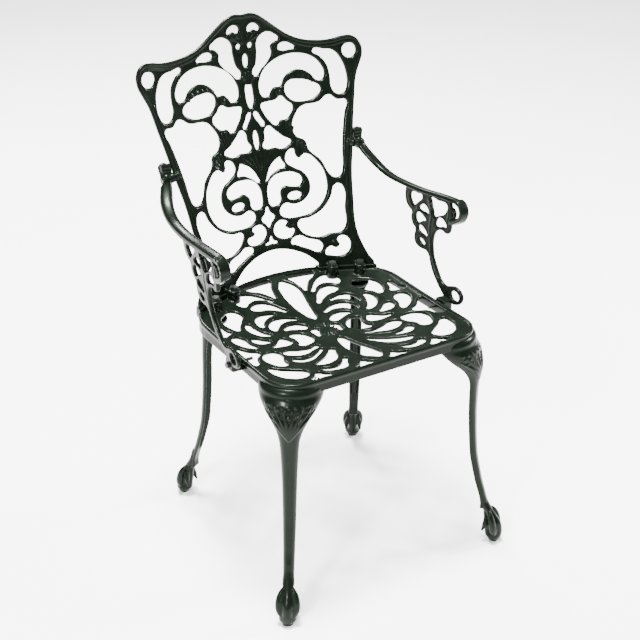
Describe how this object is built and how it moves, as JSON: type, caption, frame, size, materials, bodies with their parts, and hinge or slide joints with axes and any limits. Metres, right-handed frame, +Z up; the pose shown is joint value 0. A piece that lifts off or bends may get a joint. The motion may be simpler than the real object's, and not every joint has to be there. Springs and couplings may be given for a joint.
{
  "type": "cast iron garden armchair",
  "caption": "Openwork cast iron garden armchair with a scrolled bowed back, dished lattice seat, scroll arms and curved splayed legs.",
  "frame": {"origin": "on the ground under the middle of the chair's bounding box", "axes": "+Z up, the chair faces -Y, +X to the right as seen from the front"},
  "size_m": [0.5228, 0.5824, 0.9495],
  "materials": {
    "painted_iron": "gloss dark green enamel",
    "glide_rubber": "matt black",
    "fastener_steel": "zinc plated"
  },
  "bodies": {
    "root": {"seat": "painted_iron", "back_panel": "painted_iron", "right_arm": "painted_iron", "left_arm": "painted_iron", "front_right_leg": "painted_iron", "front_left_leg": "painted_iron", "rear_right_leg": "painted_iron", "rear_left_leg": "painted_iron", "front_right_glide": "glide_rubber", "front_left_glide": "glide_rubber", "rear_right_glide": "glide_rubber", "rear_left_glide": "glide_rubber", "leg_bolts": "fastener_steel", "leg_washers": "fastener_steel", "back_foot_bolts": "fastener_steel", "back_foot_washers": "fastener_steel", "arm_back_bolts": "fastener_steel", "arm_back_washers": "fastener_steel", "arm_seat_bolts": "fastener_steel", "arm_seat_washers": "fastener_steel"}
  },
  "joints": []
}
